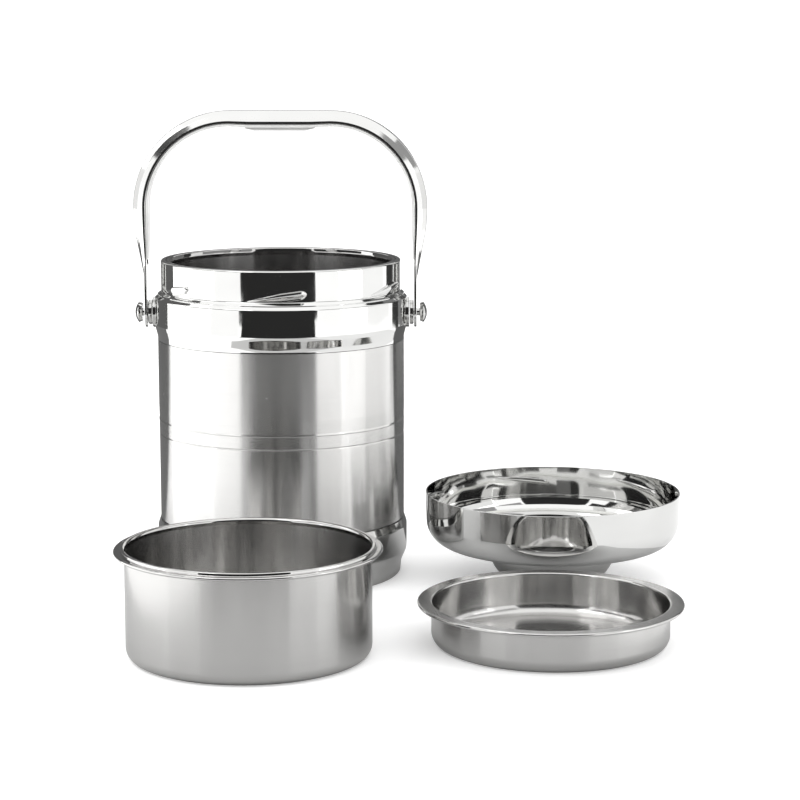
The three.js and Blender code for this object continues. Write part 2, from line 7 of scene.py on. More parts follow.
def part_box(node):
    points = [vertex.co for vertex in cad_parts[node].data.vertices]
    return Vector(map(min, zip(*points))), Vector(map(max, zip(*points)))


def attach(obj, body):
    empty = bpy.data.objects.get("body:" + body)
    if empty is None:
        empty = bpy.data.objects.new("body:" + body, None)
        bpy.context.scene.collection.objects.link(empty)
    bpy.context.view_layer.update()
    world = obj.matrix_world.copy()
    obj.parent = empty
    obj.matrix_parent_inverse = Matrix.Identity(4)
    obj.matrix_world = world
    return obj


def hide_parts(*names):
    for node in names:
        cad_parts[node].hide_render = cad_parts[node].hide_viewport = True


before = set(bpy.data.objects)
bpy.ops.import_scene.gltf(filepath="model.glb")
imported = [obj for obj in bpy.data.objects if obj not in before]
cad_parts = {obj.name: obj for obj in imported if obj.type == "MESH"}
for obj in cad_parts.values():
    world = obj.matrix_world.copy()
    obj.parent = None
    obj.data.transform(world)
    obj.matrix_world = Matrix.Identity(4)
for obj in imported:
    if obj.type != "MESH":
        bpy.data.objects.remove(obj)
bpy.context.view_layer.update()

MM = 0.001
ROUND = 192                 # spin steps of the large turned pieces
SMALL_ROUND = 64            # spin steps of the pivots
POT_STEEL = 0.8 * MM        # sheet of the pot, the bail's channel and the lid
INSERT_STEEL = 0.6 * MM     # sheet of the liner and the two inserts


# ---- Working by hand ---------------------------------------------------------------------------

def mm(*numbers):
    return Vector([n * MM for n in numbers])


def put_down():
    """Leaves edit mode and lets go of everything."""
    if bpy.context.object is not None and bpy.context.object.mode != "OBJECT":
        bpy.ops.object.mode_set(mode="OBJECT")
    bpy.ops.object.select_all(action="DESELECT")


def pick_up(*pieces):
    """Takes these pieces in hand, the first as the active one."""
    put_down()
    for piece in pieces:
        piece.select_set(True)
    bpy.context.view_layer.objects.active = pieces[0]
    return pieces[0]


def settle(piece):
    """Applies a piece's place, turn and scale, so that they are in its mesh."""
    pick_up(piece)
    bpy.ops.object.transform_apply(location=True, rotation=True, scale=True)
    return piece


def draw(name, points):
    """Draws a chain of edges through points, starting from a plane merged to one vertex."""
    put_down()
    bpy.ops.mesh.primitive_plane_add(size=MM, location=points[0])
    piece = bpy.context.object
    piece.name = name
    bpy.ops.object.transform_apply(location=True)
    bpy.ops.object.mode_set(mode="EDIT")
    bpy.ops.mesh.select_all(action="SELECT")
    bpy.ops.mesh.merge(type="CENTER")
    for here, there in zip(points, points[1:]):
        step = {"value": tuple(Vector(there) - Vector(here))}
        bpy.ops.mesh.extrude_vertices_move(TRANSFORM_OT_translate=step)
    return piece


def close_up(angle=30):
    """Merges doubles, turns the faces outwards and smooths all but the sharp edges."""
    bpy.ops.mesh.select_all(action="SELECT")
    bpy.ops.mesh.remove_doubles(threshold=0.002 * MM)
    bpy.ops.mesh.normals_make_consistent(inside=False)
    bpy.ops.object.mode_set(mode="OBJECT")
    bpy.ops.object.shade_smooth_by_angle(angle=math.radians(angle))


def flat_walls_stay_flat(piece):
    """Smooths a piece by its big faces, so that a wall beside an eased edge reflects as a plane."""
    pick_up(piece)
    bpy.ops.object.shade_smooth_by_angle(angle=math.radians(32))
    apply_modifier(piece, "WEIGHTED_NORMAL", keep_sharp=True)


def apply_modifier(piece, kind, **settings):
    pick_up(piece)
    modifier = piece.modifiers.new(kind.title(), kind)
    for key, value in settings.items():
        setattr(modifier, key, value)
    bpy.ops.object.modifier_apply(modifier=modifier.name)
    return piece


def rounded(corners, hold=0.35):
    """The points of an outline from its corners (radius, height, fillet), in millimetres.
    A short stretch beside each fillet keeps the long straight runs truly straight."""
    count = len(corners)
    places = [Vector(corner[:2]) for corner in corners]
    turns = []
    for i, here in enumerate(places):
        back = places[i - 1] - here
        ahead = places[(i + 1) % count] - here
        turns.append(math.pi - back.angle(ahead) if corners[i][2] else 0.0)
    reach = [corner[2] * math.tan(turn / 2) for corner, turn in zip(corners, turns)]

    def long_run(i, j):
        return (places[i] - places[j]).length > reach[i] + reach[j] + 3 * hold

    points = []
    for i, corner in enumerate(places):
        if turns[i] == 0:
            points.append(corner)
            continue
        back = (places[i - 1] - corner).normalized()
        ahead = (places[(i + 1) % count] - corner).normalized()
        start = corner + back * reach[i]
        middle = corner + (back + ahead).normalized() * corners[i][2] / math.cos(turns[i] / 2)
        spoke = start - middle
        way = 1 if spoke.cross(corner - middle) > 0 else -1
        steps = max(2, math.ceil(math.degrees(turns[i]) / 9))
        if long_run(i - 1, i):
            points.append(start + back * hold)
        for k in range(steps + 1):
            cos, sin = math.cos(way * turns[i] * k / steps), math.sin(way * turns[i] * k / steps)
            points.append(middle + Vector((spoke.x * cos - spoke.y * sin, spoke.x * sin + spoke.y * cos)))
        if long_run(i, (i + 1) % count):
            points.append(points[-1] + ahead * hold)
    return points


def spun(name, outline, centre=(0.0, 0.0)):
    """A turned skin: the outline is drawn in millimetres and spun about an upright axis."""
    cx, cy = centre
    piece = draw(name, [Vector((cx + r * MM, cy, z * MM)) for r, z in outline])
    bpy.ops.mesh.select_all(action="SELECT")
    bpy.ops.mesh.spin(steps=ROUND, angle=2 * math.pi, center=(cx, cy, 0.0), axis=(0.0, 0.0, 1.0))
    close_up()
    return piece


def spun_on_pivot(name, outline, side):
    """A turned solid about the bail's axis, its outline given as (radius, distance from the middle)."""
    axis_at = (0.0, 0.0, pivot_z * MM)
    piece = draw(name, [mm(side * x, 0, pivot_z + r) for r, x in outline])
    bpy.ops.mesh.select_all(action="SELECT")
    bpy.ops.mesh.spin(steps=SMALL_ROUND, angle=2 * math.pi, center=axis_at, axis=(1.0, 0.0, 0.0))
    close_up()
    flat_walls_stay_flat(piece)
    return piece


def sheet_metal(piece, thickness, side, edge=0.22 * MM):
    """Gives a skin its thickness, outwards for side 1 and inwards for side -1, and eases its raw edges."""
    apply_modifier(piece, "SOLIDIFY", thickness=thickness, offset=side, use_even_offset=True)
    apply_modifier(
        piece, "BEVEL", width=edge, segments=4, limit_method="ANGLE", angle_limit=math.radians(60)
    )
    flat_walls_stay_flat(piece)
    return piece


def select_where(piece, test):
    """Selects the vertices that pass a test of their place, ready for edit mode."""
    bpy.ops.object.mode_set(mode="EDIT")
    bpy.ops.mesh.select_all(action="DESELECT")
    bpy.ops.object.mode_set(mode="OBJECT")
    for vertex in piece.data.vertices:
        vertex.select = bool(test(vertex.co))
    bpy.ops.object.mode_set(mode="EDIT")


def copied(piece, name, matrix):
    """A copy with its own mesh, set over by a matrix."""
    pick_up(piece)
    bpy.ops.object.duplicate()
    twin = bpy.context.object
    twin.name = name
    twin.matrix_world = matrix @ twin.matrix_world
    return settle(twin)


def joined(first, *others):
    pick_up(first, *others)
    bpy.ops.object.join()
    return first


def united(piece, tool, operation="UNION"):
    """Cuts or welds with another piece, which is then thrown away. Away from the cut the walls
    keep the normals that they had, and at the cut the new faces flow out of them."""
    before = copied(piece, "before", Matrix.Identity(4))
    apply_modifier(piece, "BOOLEAN", operation=operation, object=tool, solver="EXACT")
    flat_walls_stay_flat(piece)
    apply_modifier(
        piece, "DATA_TRANSFER", object=before, use_loop_data=True, data_types_loops={"CUSTOM_NORMAL"},
        loop_mapping="POLYINTERP_NEAREST", use_max_distance=True, max_distance=0.01 * MM,
    )
    pick_up(tool, before)
    bpy.ops.object.delete()
    return piece


def turn_sign():
    """transform.rotate turns one way with a window and the other way without: which way it is here."""
    put_down()
    bpy.ops.mesh.primitive_plane_add(size=1.0, location=(1.0, 0.0, 0.0))
    probe = bpy.context.object
    bpy.ops.transform.rotate(value=math.radians(90), orient_axis="Z", center_override=(0.0, 0.0, 0.0))
    sign = 1 if probe.location.y > 0 else -1
    bpy.ops.object.delete()
    return sign


TURN = turn_sign()


def rotate(degrees, axis, centre):
    bpy.ops.transform.rotate(
        value=TURN * math.radians(degrees), orient_axis=axis, center_override=tuple(centre)
    )


# ---- Sizes from the frame ----------------------------------------------------------------------

def size(node):
    low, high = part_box(node)
    return low / MM, high / MM


collar_low, collar_high = size("neck_collar")
body_low, body_high = size("body_shell")
base_low, base_high = size("base_cap")
liner_low, liner_high = size("inner_liner")
lid_low, lid_high = size("lid_shell")
knob_low, knob_high = size("lid_knob")
plate_low, plate_high = size("lid_inner_plate")
seal_low, seal_high = size("lid_seal")
pan_low, pan_high = size("deep_container")
dish_low, dish_high = size("shallow_dish")
bail_high = size("bail_handle")[1]
pad_low, pad_high = size("bail_grip")
rivet_low, rivet_high = size("right_pivot_rivet")
boss_low, boss_high = size("right_pivot_boss")
flange_high = size("right_pivot_flange")[1]

pot_top = liner_high.z
band = collar_high.x
neck = band - 4.1           # the neck stands in from the band, to let the lid screw over it
waist = body_high.x
pivot_z = (rivet_low.z + rivet_high.z) / 2
lid_at = tuple((lid_low + lid_high).xy / 2 * MM)
pan_at = tuple((pan_low + pan_high).xy / 2 * MM)
dish_at = tuple((dish_low + dish_high).xy / 2 * MM)
lid_radius = (lid_high - lid_low).x / 2
knob_radius = (knob_high - knob_low).x / 2
plate_radius = (plate_high - plate_low).x / 2
seal_radius = (seal_high - seal_low).x / 2
pan_radius = (pan_high - pan_low).x / 2
dish_radius = (dish_high - dish_low).x / 2

THREADS = 6
THREAD_ARC = 29             # degrees that one ridge covers
THREAD_RISE = 4.6           # its climb over that arc
THREAD_STEPS = 30
THREAD_ROOT = 0.5           # how far a ridge is sunk into its wall


# ---- Thread ridges -----------------------------------------------------------------------------

def thread_ridges(name, wall, reach, height, middle, first, blunt_end, centre):
    """Short thread ridges round a wall. Each is thin at one end, swells, and ends bluntly."""
    way = 1 if reach > 0 else -1
    root_radius = wall - way * THREAD_ROOT
    crest = [
        (0.72, 0.9), (0.93, 0.8), (1.0, 0.58), (0.95, 0.2), (0.75, -0.25), (0.35, -0.7), (0.1, -0.92),
    ]
    section = [(root_radius, height)]
    section += [(wall + reach * out, height * up) for out, up in crest]
    section += [(root_radius, -height)]
    start = middle - THREAD_RISE / 2
    points = [mm(r, 0, start + z) for r, z in section]
    piece = draw(name, points + points[:1])
    bpy.ops.mesh.select_all(action="SELECT")
    bpy.ops.mesh.remove_doubles(threshold=0.002 * MM)
    root = mm(root_radius, 0, start)

    def swell(share):
        along = share if blunt_end > 0 else 1 - share
        rise = min(1.0, 0.12 + 1.5 * along)
        fall = math.sqrt(max(0.0, 1 - (max(0.0, along - 0.9) / 0.1) ** 2))
        return max(0.1, rise * max(fall, 0.3))

    shape = swell(0)
    bpy.ops.transform.resize(value=(shape, 1, shape), center_override=tuple(root))
    bpy.ops.mesh.edge_face_add()
    axis = Matrix.Rotation(math.radians(THREAD_ARC / THREAD_STEPS), 4, "Z")
    frame_at = Matrix.Identity(4)
    for k in range(1, THREAD_STEPS + 1):
        grow = swell(k / THREAD_STEPS) / swell((k - 1) / THREAD_STEPS)
        bpy.ops.mesh.extrude_region_move(
            TRANSFORM_OT_translate={"value": (0, 0, THREAD_RISE * MM / THREAD_STEPS)}
        )
        rotate(THREAD_ARC / THREAD_STEPS, "Z", (0, 0, 0))
        frame_at = axis @ frame_at
        root = root + mm(0, 0, THREAD_RISE / THREAD_STEPS)
        bpy.ops.transform.resize(
            value=(grow, 1, grow),
            center_override=tuple(frame_at @ root),
            orient_matrix=frame_at.to_3x3(),
            orient_type="GLOBAL",
            orient_matrix_type="GLOBAL",
        )
    close_up(40)
    settle(piece)
    ridges = []
    for i in range(THREADS):
        turn = first - THREAD_ARC / 2 + i * 360 / THREADS
        place = Matrix.Translation((*centre, 0)) @ Matrix.Rotation(math.radians(turn), 4, "Z")
        ridges.append(copied(piece, f"{name}_{i}", place))
    pick_up(piece)
    bpy.ops.object.delete()
    return joined(*ridges)


# ---- Pot ---------------------------------------------------------------------------------------

def make_collar():
    """Flat rim, neck, creased shoulder and band, in one pressed and polished collar."""
    shoulder = collar_high.z - 21.5
    thread_middle = pot_top - 16.4
    piece = spun("pot_collar", rounded([
        (waist, collar_low.z, 0),
        (waist, collar_low.z + 1.7, 9),
        (band, body_high.z + 9.0, 9),
        (band, shoulder - 1.6, 1.3),
        (band - 1.9, shoulder + 0.3, 0.5),
        (band - 2.0, shoulder + 0.9, 0.4),
        (neck, shoulder + 2.7, 1.5),
        (neck, pot_top, 1.1),
        (liner_high.x + 0.3, pot_top, 0),
    ]))
    sheet_metal(piece, POT_STEEL, -1, edge=0.12 * MM)
    ridges = thread_ridges("neck_ridge", neck, 2.2, 2.9, thread_middle, -90, 1, (0, 0))
    return united(piece, ridges)


def make_body():
    """The outer wall, with a step pressed into it: a flared line, a shallow waist and a groove."""
    step = body_low.z + 85.5
    return sheet_metal(spun("pot_body", rounded([
        (waist - 1.3, body_low.z, 0),
        (waist - 1.3, base_high.z + 0.2, 0.3),
        (waist - 0.3, base_high.z + 0.7, 0.3),
        (waist - 0.25, step - 9.1, 0.3),
        (waist - 0.5, step - 8.5, 0.25),
        (waist - 0.25, step - 7.9, 0.3),
        (waist - 0.2, step - 0.6, 0.3),
        (waist, step - 0.1, 0.2),
        (waist - 0.25, step + 0.9, 0.5),
        (waist - 0.1, step + 9, 8),
        (waist, body_high.z, 0),
    ], hold=0.25)), POT_STEEL, -1, edge=0.15 * MM)


def make_base():
    foot = waist - 1.8
    bulge = waist + 1.5
    return sheet_metal(spun("pot_base", rounded([
        (0, base_low.z, 0),
        (foot - 0.9, base_low.z, 1.6),
        (foot, base_low.z + 8, 3),
        (bulge - 0.1, base_low.z + 15.5, 4),
        (bulge, base_high.z - 4.5, 3),
        (waist, base_high.z, 0),
    ])), POT_STEEL, -1, edge=0.15 * MM)


def make_liner():
    mouth = liner_high.x - 2.7
    return sheet_metal(spun("pot_liner", rounded([
        (0, liner_low.z + 0.6, 0),
        (mouth, liner_low.z + 0.6, 8),
        (mouth, pot_top - 2.3, 2),
        (mouth + 0.9, pot_top, 0.9),
        (liner_high.x, pot_top, 0),
    ])), INSERT_STEEL, -1, edge=0.12 * MM)


# ---- Pivots ------------------------------------------------------------------------------------

def closed(outline):
    return outline + outline[:1]


PIN_RADIUS = 2.3
PIN_HOLE = 2.6
FLANGE_RADIUS = 9.5
FLANGE_THICKNESS = 1.8
BOSS_RADIUS = 7.6
DOME_RADIUS = 10.2          # of the rivet's rounded face
DOME_HALF_ANGLE = 40.5      # degrees from its middle to its edge
DOME_STEPS = 10
HEAD_HEIGHT = 4.5           # from the pin's shoulder to the top of the dome


def make_pivot(side, hand):
    """A weld flange, a spacing boss, and a rivet whose domed head is undercut."""
    flange = spun_on_pivot(f"{hand}_weld_flange", rounded([
        (0, flange_high.x - FLANGE_THICKNESS, 0),
        (FLANGE_RADIUS, flange_high.x - FLANGE_THICKNESS, 0),
        (FLANGE_RADIUS, flange_high.x, 0.5),
        (0, flange_high.x, 0),
    ], hold=0.15), side)
    boss = spun_on_pivot(f"{hand}_spacing_boss", closed(rounded([
        (PIN_HOLE, boss_low.x, 0.1),
        (BOSS_RADIUS, boss_low.x, 0.35),
        (BOSS_RADIUS + 0.15, (boss_low.x + boss_high.x) / 2, 2.5),
        (BOSS_RADIUS, boss_high.x, 0.6),
        (PIN_HOLE, boss_high.x, 0.1),
    ], hold=0.1)), side)
    head = rivet_high.x
    turns = [math.radians(DOME_HALF_ANGLE * k / DOME_STEPS) for k in range(DOME_STEPS, 0, -1)]
    cap = [(DOME_RADIUS * math.sin(a), head - DOME_RADIUS * (1 - math.cos(a))) for a in turns]
    rivet = spun_on_pivot(f"{hand}_domed_rivet", rounded([
        (0, rivet_low.x, 0),
        (PIN_RADIUS, rivet_low.x, 0.2),
        (PIN_RADIUS, head - HEAD_HEIGHT, 0.4),
        (4.0, head - HEAD_HEIGHT, 1.0),
        (6.9, head - 3.2, 0.35),
    ], hold=0.1)[:-1] + cap + [(0, head)], side)
    return flange, boss, rivet


# ---- Bail --------------------------------------------------------------------------------------

bail_outside = bail_high.x
bail_top = bail_high.z
BAIL_CORNER = 60            # radius of the corner between the hand bar and a leg
CORNER_STEPS = 24
LEG_DEPTH = 8.1             # the channel's depth at the head of a leg
TOP_DEPTH = 8.6             # and at the hand bar
HALF_WIDTH = 9.5
CHANNEL_FOOT = 184          # the height at which the pressed channel ends in its flat ear
LINING_FOOT = 199
FEATHER = 0.5               # a short stretch on each side of the corner, for an even sheen
# The leg flattens on its way down: the height of each section, its depth, and how much it narrows.
LEG_SECTIONS = (
    (226, 7.95, 1), (220, 7.6, 1), (215, 6.95, 1), (207, 5.4, 1), (199, 3.85, 1), (187, 1.66, 0.985),
    (CHANNEL_FOOT, 1.3, 0.97),
)
EAR_THICKNESS = 1.6
EAR_HEIGHT = 30             # from the pivot's axis to the top of an ear's strap
EAR_ROUND_STEPS = 32


def other_half(corners):
    """The corners of a section's other side, in the order that carries its outline on."""
    return [(out, -across, fillet) for out, across, fillet in reversed(corners)]


def channel_section():
    """The channel's section at the hand bar: outward from its inner face, and across."""
    deep = TOP_DEPTH
    half = [
        (0, 4.2, 0.3), (0, HALF_WIDTH, 0.6), (2.0, HALF_WIDTH, 0.5), (5.2, 8.0, 0.6),
        (deep, 4.3, 2.1),
    ]
    inner = [
        (deep - 1.0, 3.9, 1.3), (4.7, 7.0, 0.5), (1.8, HALF_WIDTH - 1, 0.4),
        (1.0, HALF_WIDTH - 1, 0.3), (1.0, 4.2, 0.3),
    ]
    return rounded(half + other_half(half) + other_half(inner) + inner, hold=0.15)


def lining_section():
    """The plastic lining: a rounded bead inside the channel's lips and a tongue through its slot."""
    half = [
        (-1.8, 6.0, 0.6), (-1.3, 6.3, 0.1), (-1.15, 5.9, 0.04), (-1.05, 5.9, 0.04),
        (-0.95, 7.3, 0.4), (-0.12, 7.3, 0.2), (-0.12, 3.9, 0.1), (5.5, 3.9, 0.4),
    ]
    return rounded(half + other_half(half), hold=0.1)


def swept_bail(name, section, foot):
    """Carries a section from the middle of the hand bar round the corner and down one leg to its
    foot, then mirrors it to the other side. The leg flattens from its shoulder downwards."""
    inner_z = bail_top - TOP_DEPTH
    points = [mm(0, across, inner_z + out) for out, across in section]
    piece = draw(name, points + points[:1])
    bpy.ops.mesh.select_all(action="SELECT")
    bpy.ops.mesh.remove_doubles(threshold=0.002 * MM)
    corner = mm(bail_outside - BAIL_CORNER, 0, bail_top - BAIL_CORNER)

    def carry(x, z):
        bpy.ops.mesh.extrude_region_move(TRANSFORM_OT_translate={"value": tuple(mm(x, 0, z))})

    straight = corner.x / MM
    carry(straight * 0.6, 0)
    carry(straight * 0.4 - FEATHER, 0)
    squeeze = LEG_DEPTH / TOP_DEPTH
    bpy.ops.transform.resize(value=(1, 1, squeeze), center_override=tuple(mm(0, 0, bail_top)))
    carry(FEATHER, 0)
    for _ in range(CORNER_STEPS):
        carry(0, 0)
        rotate(90 / CORNER_STEPS, "Y", corner)
    carry(0, -FEATHER)
    here = corner.z / MM - FEATHER
    depth = LEG_DEPTH
    inner_x = bail_outside - LEG_DEPTH
    for z, deep, narrow in LEG_SECTIONS:
        if z < foot:
            continue
        carry(0, z - here)
        bpy.ops.transform.resize(
            value=(deep / depth, narrow, 1), center_override=tuple(mm(inner_x, 0, z))
        )
        here = z
        depth = deep
    bpy.ops.mesh.edge_face_add()
    close_up()
    apply_modifier(
        piece, "MIRROR", use_axis=(True, False, False), use_mirror_merge=True, merge_threshold=0.01 * MM
    )
    bpy.ops.object.mode_set(mode="EDIT")
    close_up()
    flat_walls_stay_flat(piece)
    return piece


def make_ears():
    """The flat ears at the feet of the legs: round-ended straps with the rivet's hole."""
    inside = boss_high.x + 0.3
    half = HALF_WIDTH - 0.05
    round_end = [
        mm(inside, -half * math.cos(a), pivot_z - half * math.sin(a))
        for a in (math.pi * k / EAR_ROUND_STEPS for k in range(EAR_ROUND_STEPS + 1))
    ]
    top = pivot_z + EAR_HEIGHT
    points = [mm(inside, -half, top), *round_end, mm(inside, half, top)]
    piece = draw("bail_ears", points + points[:1])
    bpy.ops.mesh.select_all(action="SELECT")
    bpy.ops.mesh.remove_doubles(threshold=0.002 * MM)
    bpy.ops.mesh.edge_face_add()
    bpy.ops.mesh.extrude_region_move(
        TRANSFORM_OT_translate={"value": tuple(mm(EAR_THICKNESS, 0, 0))}
    )
    close_up()
    put_down()
    bpy.ops.mesh.primitive_cylinder_add(
        vertices=48, radius=PIN_HOLE * MM, depth=5 * EAR_THICKNESS * MM,
        rotation=(0, math.radians(90), 0), location=tuple(mm(inside + EAR_THICKNESS / 2, 0, pivot_z)),
    )
    drill = settle(bpy.context.object)
    united(piece, drill, "DIFFERENCE")
    apply_modifier(
        piece, "BEVEL", width=0.25 * MM, segments=3, limit_method="ANGLE", angle_limit=math.radians(60)
    )
    apply_modifier(piece, "MIRROR", use_axis=(True, False, False), use_mirror_merge=False)
    bpy.ops.object.mode_set(mode="EDIT")
    close_up()
    return piece


def make_bail():
    channel = united(swept_bail("bail_channel", channel_section(), CHANNEL_FOOT), make_ears())
    lining = swept_bail("bail_lining", lining_section(), LINING_FOOT)
    return channel, lining


def make_pad():
    """The soft pad under the hand bar, its ends sloped and its edges rounded."""
    middle = (pad_low + pad_high) / 2
    full = pad_high - pad_low
    length = full.x + 6
    put_down()
    bpy.ops.mesh.primitive_cube_add(size=1, location=tuple(middle * MM))
    piece = bpy.context.object
    piece.name = "hand_pad"
    piece.scale = (length * MM, full.y * MM, full.z * MM)
    settle(piece)
    select_where(piece, lambda co: co.z < middle.z * MM)
    slope = 1 - 12 / length
    bpy.ops.transform.resize(value=(slope, 0.86, 1), center_override=tuple(middle * MM))
    bpy.ops.mesh.select_all(action="SELECT")
    bpy.ops.mesh.bevel(offset=0.5 * MM, segments=4, profile=0.5)
    close_up()
    return piece


# ---- Lid ---------------------------------------------------------------------------------------

def make_lid_shell():
    """The lid as it lies: a wide bowl whose wall opens a little, with ridges inside its mouth."""
    draft = 0.9
    piece = sheet_metal(spun("lid_cover", rounded([
        (0, lid_low.z, 0),
        (lid_radius - draft, lid_low.z, 15.5),
        (lid_radius, lid_high.z, 0),
    ]), lid_at), POT_STEEL, -1, edge=0.3 * MM)
    wall = lid_radius - POT_STEEL / MM
    thread_middle = lid_high.z - 8.2
    ridges = thread_ridges("lid_ridge", wall, -2.2, 2.0, thread_middle, 102.5, -1, lid_at)
    return united(piece, ridges)


def make_lid_plate():
    """The inner plate: a flat middle, a lower land for the seal, and a rim in the lid's corner."""
    land = plate_low.z + 0.8
    rim = plate_radius - 0.6
    return sheet_metal(spun("lid_plate", rounded([
        (0, land + 0.8, 0),
        (rim - 10.2, land + 0.8, 1.2),
        (rim - 9.2, land, 1.2),
        (rim - 2.7, land, 2.0),
        (rim, land + 3.3, 0),
    ]), lid_at), POT_STEEL, 1, edge=0.25 * MM)


def make_seal():
    """The silicone ring, with two lips round a groove."""
    inner = seal_radius - 5
    return spun("lid_sealing_ring", closed(rounded([
        (inner, seal_low.z, 0.2), (seal_radius, seal_low.z, 0.2),
        (seal_radius, seal_high.z - 0.3, 0.3), (seal_radius - 1.6, seal_high.z, 0.4),
        (seal_radius - 2.5, seal_high.z - 0.5, 0.4), (inner + 1.6, seal_high.z, 0.4),
        (inner, seal_high.z - 0.3, 0.3),
    ], hold=0.08)), lid_at)


def make_knob():
    """The knob: a bowl that stands open side up under the lid and is welded to it by its rim."""
    return sheet_metal(spun("lid_knob_cup", rounded([
        (0, knob_low.z, 0),
        (knob_radius - 5, knob_low.z, 19),
        (knob_radius - 0.2, knob_high.z - 3.0, 3),
        (knob_radius, knob_high.z, 0),
    ]), lid_at), POT_STEEL, -1, edge=0.2 * MM)


# ---- Inserts -----------------------------------------------------------------------------------

def make_pan():
    """The deep container: a raised rounded lip inside a flange with a rolled edge."""
    wall = pan_radius - 6.5
    edge = pan_radius
    top = pan_high.z
    return sheet_metal(spun("deep_pan", rounded([
        (0, 0.6, 0),
        (wall, 0.6, 5.9),
        (wall, top, 1.9),
        (wall + 2.8, top, 0.7),
        (wall + 3.0, top - 1.7, 0.5),
        (edge, top - 1.7, 0.95),
        (edge, top - 3.65, 0.9),
        (edge - 1.2, top - 3.65, 0),
    ], hold=0.2), pan_at), INSERT_STEEL, -1, edge=0.1 * MM)


def make_dish():
    """The shallow dish: a wide flat flange with a rolled edge, and a raised ring on the floor."""
    wall = dish_radius - 8.5
    top = dish_high.z
    return sheet_metal(spun("shallow_pan", rounded([
        (0, 1.3, 0),
        (40, 1.3, 1.0),
        (41.4, 0.6, 1.0),
        (wall, 0.6, 6.4),
        (wall, top, 1.2),
        (dish_radius, top, 0.95),
        (dish_radius, top - 1.95, 0.9),
        (dish_radius - 1.2, top - 1.95, 0),
    ], hold=0.2), dish_at), INSERT_STEEL, -1, edge=0.1 * MM)


# ---- Finishes ----------------------------------------------------------------------------------

def shades(colour, darker, lighter):
    """A colour a little darker and a little lighter."""
    return [tuple(channel * k for channel in colour) for k in (darker, lighter)]


class Finish:
    """A material under construction: its nodes are added and wired from left to right."""

    def __init__(self, name, colour, roughness, metallic=0.0):
        self.material = bpy.data.materials.new(name)
        self.material.use_nodes = True
        self.nodes = self.material.node_tree.nodes
        self.links = self.material.node_tree.links
        self.shader = self.nodes["Principled BSDF"]
        self.set(self.shader, "Base Color", (*colour, 1))
        self.set(self.shader, "Roughness", roughness)
        self.set(self.shader, "Metallic", metallic)

    def set(self, node, socket, value):
        if isinstance(value, bpy.types.NodeSocket):
            self.links.new(value, node.inputs[socket])
        else:
            node.inputs[socket].default_value = value

    def node(self, kind, settings=None, **inputs):
        made = self.nodes.new(kind)
        for key, value in (settings or {}).items():
            setattr(made, key, value)
        for socket, value in inputs.items():
            self.set(made, socket.replace("_", " "), value)
        return made

    def place(self, centre=(0.0, 0.0), scale=(1, 1, 1)):
        """Object coordinates, with the piece's own axis at their middle."""
        coordinates = self.node("ShaderNodeTexCoord").outputs["Object"]
        return self.node(
            "ShaderNodeMapping", Vector=coordinates, Location=(-centre[0], -centre[1], 0), Scale=scale
        ).outputs["Vector"]

    def noise(self, vector, scale, detail=3.0, roughness=0.5):
        return self.node(
            "ShaderNodeTexNoise", Vector=vector, Scale=scale, Detail=detail, Roughness=roughness
        ).outputs["Fac"]

    def between(self, value, low, high, from_low=0.3, from_high=0.7):
        return self.node(
            "ShaderNodeMapRange", Value=value, From_Min=from_low, From_Max=from_high,
            To_Min=low, To_Max=high,
        ).outputs["Result"]

    def ramp(self, value, stops):
        """A colour that goes through stops of (place, grey or colour)."""
        node = self.node("ShaderNodeValToRGB", Fac=value)
        while len(node.color_ramp.elements) < len(stops):
            node.color_ramp.elements.new(0.5)
        for element, (at, colour) in zip(node.color_ramp.elements, stops):
            element.position = at
            element.color = (*colour, 1)
        return node.outputs["Color"]

    def maths(self, operation, a, b=0.0):
        node = self.node("ShaderNodeMath", {"operation": operation})
        self.set(node, 0, a)
        self.set(node, 1, b)
        return node.outputs["Value"]

    def lathe_lines(self, vector, fineness=2400, drift=7.0):
        """Coordinates stretched along the turning direction: rings on a floor, hoops on a wall."""
        parts = self.node("ShaderNodeSeparateXYZ", Vector=vector)
        x, y, z = (parts.outputs[axis] for axis in "XYZ")
        squares = self.maths("ADD", self.maths("MULTIPLY", x, x), self.maths("MULTIPLY", y, y))
        radius = self.maths("SQRT", squares)
        along = self.maths("MULTIPLY", self.maths("ADD", radius, z), fineness)
        drifted = self.node("ShaderNodeCombineXYZ")
        self.set(drifted, "X", self.maths("MULTIPLY", x, drift))
        self.set(drifted, "Y", self.maths("MULTIPLY", y, drift))
        self.set(drifted, "Z", along)
        return drifted.outputs["Vector"]

    def bump(self, height, strength, distance, under=None):
        node = self.node("ShaderNodeBump", Height=height, Strength=strength, Distance=distance)
        if under is not None:
            self.set(node, "Normal", under)
        return node.outputs["Normal"]

    def wear(self, centre=(0.0, 0.0)):
        """0 to 1 where hands and racks have rubbed the surface: short fine scratches in patches."""
        scratches = self.noise(self.place(centre, (1, 1.6, 9)), 260, 2.0, 0.6)
        patches = self.noise(self.place(centre), 38, 2.0)
        lines = self.between(scratches, 0, 1, 0.66, 0.74)
        return self.maths("MULTIPLY", lines, self.between(patches, 0, 1, 0.5, 0.68))


